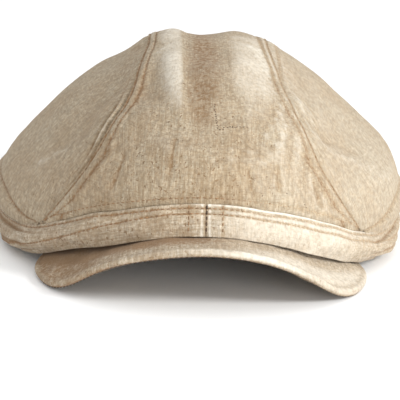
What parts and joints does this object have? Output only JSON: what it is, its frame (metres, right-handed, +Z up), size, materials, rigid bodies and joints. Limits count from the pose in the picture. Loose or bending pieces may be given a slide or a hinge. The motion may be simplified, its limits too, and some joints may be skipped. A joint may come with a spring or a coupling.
{
  "type": "flat cap",
  "caption": "Soft linen cap with a three-panel crown, a wide outer band, a short arched visor and a size strap with a clasp at the back.",
  "frame": {"origin": "centre of the bounding box's bottom face: the surface that the cap stands on", "axes": "+Z up, the visor points to -Y, +X is the right side seen from the front"},
  "size_m": [0.2622, 0.2719, 0.1287],
  "materials": {
    "linen": "washed slub linen, pale on its raised edges",
    "linen_under": "washed slub linen, under the visor",
    "linen_strap": "folded washed linen strap",
    "cotton": "plain cotton lining",
    "board": "flexible visor stiffener",
    "brass": "aged brass"
  },
  "bodies": {
    "cap": {"crown_centre_panel": "linen", "crown_left_panel": "linen", "crown_right_panel": "linen", "band_left": "linen", "band_right": "linen", "visor_top_cover": "linen", "visor_under_cover": "linen_under", "visor_board": "board", "sweatband": "cotton", "lining_centre_panel": "cotton", "lining_left_panel": "cotton", "lining_right_panel": "cotton", "back_strap": "linen_strap", "back_tab": "linen_strap", "clasp_base": "brass", "clasp_pin": "brass"},
    "lever": {"clasp_lever": "brass"}
  },
  "joints": [
    {"name": "clasp_lever_hinge", "type": "hinge", "parent": "cap", "child": "lever", "pos_m": [-0.0045, 0.13239, 0.01572], "axis": [0, 0.2679, 0.9634], "range_deg": [0, 95]}
  ]
}
